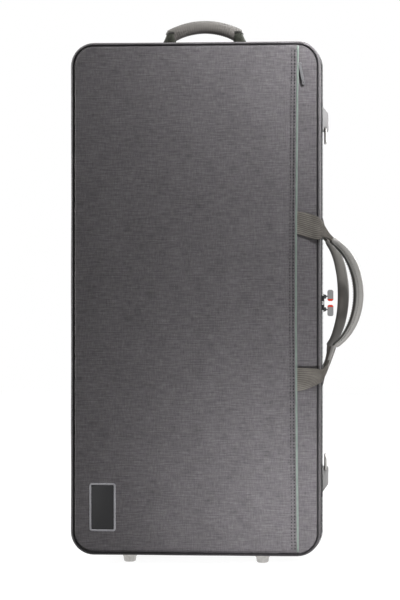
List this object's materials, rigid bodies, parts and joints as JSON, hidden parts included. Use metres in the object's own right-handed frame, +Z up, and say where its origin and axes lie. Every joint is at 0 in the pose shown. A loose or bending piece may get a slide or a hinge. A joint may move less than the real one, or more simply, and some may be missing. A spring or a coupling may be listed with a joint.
{
  "type": "viola case",
  "caption": "Oblong fabric covered viola case standing on its short end, with a side hinged lid, a zip round three sides, a lid pocket, padded carry handles and a top handle.",
  "frame": {"origin": "centre of the object's bounding box in plan, on the surface that the feet stand on", "axes": "+Z up along the case's long side, -Y out of the lid's front face, +X towards the zip side with the carry handles"},
  "size_m": [0.4636, 0.1678, 0.8733],
  "materials": {
    "woven_nylon": "matte",
    "black_piping": "satin",
    "grey_webbing": "matte",
    "zip_tape": "matte",
    "foam_board": "matte",
    "grey_plush": "matte",
    "grip_leatherette": "satin",
    "ribbed_rubber": "matte",
    "nickel": "polished",
    "black_metal": "gloss",
    "grey_pull": "matte",
    "red_accent": "satin",
    "patch_border": "satin",
    "patch_black": "satin",
    "clear_plastic": "satin"
  },
  "bodies": {
    "case_body": {"body_shell": "foam_board", "body_cover": "woven_nylon", "back_piping": "black_piping", "body_inner_rim": "grey_plush", "body_zip_tape": "zip_tape", "hinge_spine_body": "woven_nylon", "instrument_nest": "grey_plush", "bed_pillows": "grey_plush", "neck_cradle": "grey_plush", "neck_strap_base": "grey_webbing", "rear_feet": "nickel", "ring_tab_upper": "grey_webbing", "ring_tab_lower": "grey_webbing", "rear_handle_straps": "grey_webbing", "top_handle_anchors": "grey_webbing"},
    "lid": {"lid_shell": "foam_board", "lid_cover": "woven_nylon", "front_piping": "black_piping", "lid_zip_tape": "zip_tape", "hinge_spine_lid": "woven_nylon", "music_pocket": "woven_nylon", "pocket_placket": "woven_nylon", "pocket_zip_tape": "zip_tape", "patch_frame": "patch_border", "patch_field": "patch_black", "front_feet": "nickel", "front_handle_straps": "grey_webbing", "lid_lining": "grey_plush", "bow_spinner_bases": "clear_plastic", "bow_rests": "grey_plush", "bow_tip_pockets": "grey_plush"},
    "front_handle": {"front_grip": "grip_leatherette", "front_handle_webbing": "grey_webbing"},
    "rear_handle": {"rear_grip": "grip_leatherette", "rear_handle_webbing": "grey_webbing"},
    "top_handle": {"top_grip": "ribbed_rubber", "top_handle_webbing": "grey_webbing"},
    "ring_upper": {"d_ring_upper": "nickel"},
    "ring_lower": {"d_ring_lower": "nickel"},
    "slider_upper": {"zip_slider_upper": "black_metal"},
    "pull_upper": {"pull_link_upper": "black_metal", "pull_tab_upper": "grey_pull", "pull_accent_upper": "red_accent"},
    "slider_lower": {"zip_slider_lower": "black_metal"},
    "pull_lower": {"pull_link_lower": "black_metal", "pull_tab_lower": "grey_pull", "pull_accent_lower": "red_accent"},
    "pocket_zip_slider": {"pocket_slider": "nickel"},
    "pocket_zip_pull": {"pocket_pull": "nickel"},
    "neck_strap_flap": {"neck_strap": "grey_webbing"},
    "box_lid": {"accessory_box_lid": "grey_plush"},
    "spinner_left": {"bow_spinner_left": "clear_plastic"},
    "spinner_right": {"bow_spinner_right": "clear_plastic"}
  },
  "joints": [
    {"name": "lid_hinge", "type": "hinge", "parent": "case_body", "child": "lid", "pos_m": [-0.23178, -0.01842, 0.417], "axis": [0, 0, -1], "range_deg": [0, 110]},
    {"name": "front_handle_swing", "type": "hinge", "parent": "lid", "child": "front_handle", "pos_m": [0.16672, -0.07722, 0.425], "axis": [0, 0, 1], "range_deg": [-95, 5]},
    {"name": "rear_handle_swing", "type": "hinge", "parent": "case_body", "child": "rear_handle", "pos_m": [0.16672, 0.07838, 0.425], "axis": [0, 0, 1], "range_deg": [0, 97]},
    {"name": "top_handle_swing", "type": "hinge", "parent": "case_body", "child": "top_handle", "pos_m": [-0.02508, 0.03058, 0.8266], "axis": [1, 0, 0], "range_deg": [-58, 58]},
    {"name": "ring_upper_swing", "type": "hinge", "parent": "case_body", "child": "ring_upper", "pos_m": [0.17092, 0.01558, 0.6905], "axis": [0, -1, 0], "range_deg": [-5, 120]},
    {"name": "ring_lower_swing", "type": "hinge", "parent": "case_body", "child": "ring_lower", "pos_m": [0.17092, 0.01558, 0.1435], "axis": [0, 1, 0], "range_deg": [-5, 120]},
    {"name": "slider_upper_travel", "type": "slide", "parent": "case_body", "child": "slider_upper", "axis": [0, 0, 1], "range_m": [0, 0.34]},
    {"name": "pull_upper_swing", "type": "hinge", "parent": "slider_upper", "child": "pull_upper", "pos_m": [0.17112, -0.01842, 0.4205], "axis": [0, 1, 0], "range_deg": [-25, 10]},
    {"name": "slider_lower_travel", "type": "slide", "parent": "case_body", "child": "slider_lower", "axis": [0, 0, -1], "range_m": [0, 0.33]},
    {"name": "pull_lower_swing", "type": "hinge", "parent": "slider_lower", "child": "pull_lower", "pos_m": [0.17112, -0.01842, 0.4005], "axis": [0, 1, 0], "range_deg": [-10, 25]},
    {"name": "pocket_slider_travel", "type": "slide", "parent": "lid", "child": "pocket_zip_slider", "axis": [0, 0, -1], "range_m": [0, 0.7]},
    {"name": "pocket_pull_swing", "type": "hinge", "parent": "pocket_zip_slider", "child": "pocket_zip_pull", "pos_m": [0.13142, -0.08242, 0.786], "axis": [-1, 0, 0], "range_deg": [0, 150]},
    {"name": "neck_strap_swing", "type": "hinge", "parent": "case_body", "child": "neck_strap_flap", "pos_m": [-0.11408, -0.01692, 0.56], "axis": [0, 0, -1], "range_deg": [0, 30]},
    {"name": "box_lid_hinge", "type": "hinge", "parent": "case_body", "child": "box_lid", "pos_m": [-0.21008, -0.01832, 0.656], "axis": [0, 0, -1], "range_deg": [0, 25]},
    {"name": "spinner_left_turn", "type": "hinge", "parent": "lid", "child": "spinner_left", "pos_m": [-0.10308, -0.06062, 0.112], "axis": [0, 1, 0], "range_deg": [0, 90]},
    {"name": "spinner_right_turn", "type": "hinge", "parent": "lid", "child": "spinner_right", "pos_m": [0.03692, -0.06062, 0.112], "axis": [0, 1, 0], "range_deg": [-90, 0]}
  ]
}
